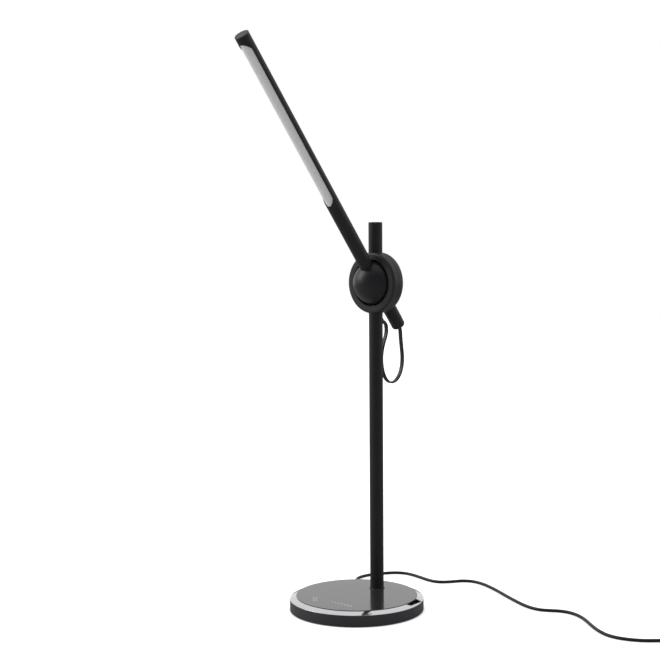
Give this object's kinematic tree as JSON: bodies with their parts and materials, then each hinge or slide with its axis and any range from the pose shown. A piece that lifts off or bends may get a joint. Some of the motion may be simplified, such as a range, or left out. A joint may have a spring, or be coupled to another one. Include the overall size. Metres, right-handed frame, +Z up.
{
  "type": "desk lamp",
  "caption": "Slim LED desk lamp: a round weighted base and straight pole carry a ring in which a ball tilts a tubular light arm, with a flat plug-in adapter on a long cord.",
  "frame": {"origin": "centre of the round base, on the flat underside it rests on", "axes": "+Z up along the pole, -Y the way the light arm reaches, +X along the tilt axis, so the lamp is symmetric about the YZ plane apart from its power cord"},
  "size_m": [0.6611, 0.4206, 0.7408],
  "materials": {
    "satin_black_metal": "satin black powder coat",
    "satin_black_aluminium": "satin black paint on a drawn tube",
    "satin_black_plastic": "fine satin texture",
    "gloss_black": "polished gloss",
    "polished_aluminium": "diamond-turned edge",
    "bare_aluminium": "plain extruded",
    "steel": "zinc plated",
    "ballast": "raw",
    "pad": "soft foam rubber",
    "copper_foil": "bare foil on foam",
    "board": "green resist",
    "board_white": "white resist",
    "phosphor": "cast phosphor",
    "opal": "opal, frosted",
    "cap_grey": "fine satin texture",
    "washer": "plain",
    "cord_jacket": "semi-gloss jacket",
    "adapter_plastic": "fine texture"
  },
  "bodies": {
    "stand": {"base_housing": "satin_black_plastic", "polished_bezel": "polished_aluminium", "top_plate": "gloss_black", "ballast_plate": "ballast", "bottom_cover": "satin_black_plastic", "foot_pad": "pad", "bottom_screws": "steel", "touch_electrodes": "copper_foil", "dimmer_board": "board", "inlet_lead": "cord_jacket", "cord_strain_relief": "satin_black_plastic", "pole_tube": "satin_black_metal", "pole_foot_collar": "satin_black_plastic", "pole_foot_insert": "steel", "pole_lock_nut": "steel", "pole_lead": "cord_jacket", "pole_grommet": "gloss_black", "upper_stub": "satin_black_metal", "stub_cap": "gloss_black", "tube_end_inserts": "bare_aluminium", "ring_front_shell": "satin_black_plastic", "ring_rear_shell": "satin_black_plastic", "ring_screws": "steel", "pivot_pins": "steel", "friction_washers": "washer", "lead_loop": "cord_jacket", "power_cord": "cord_jacket", "power_cord_coil": "cord_jacket", "power_cord_end": "cord_jacket", "adapter_body": "adapter_plastic", "adapter_pins": "steel", "adapter_relief": "adapter_plastic"},
    "arm": {"arm_tube": "satin_black_aluminium", "ball_hub": "gloss_black", "grub_screws": "steel", "light_diffuser": "opal", "led_carrier": "bare_aluminium", "led_board": "board_white", "leds": "phosphor", "tip_cap": "cap_grey", "tail_cap": "satin_black_plastic", "arm_lead": "cord_jacket"}
  },
  "joints": [
    {"name": "arm_tilt", "type": "hinge", "parent": "stand", "child": "arm", "pos_m": [0, 0.042, 0.4375], "axis": [1, 0, 0], "range_deg": [-3, 105], "deforming": ["lead_loop"]}
  ]
}
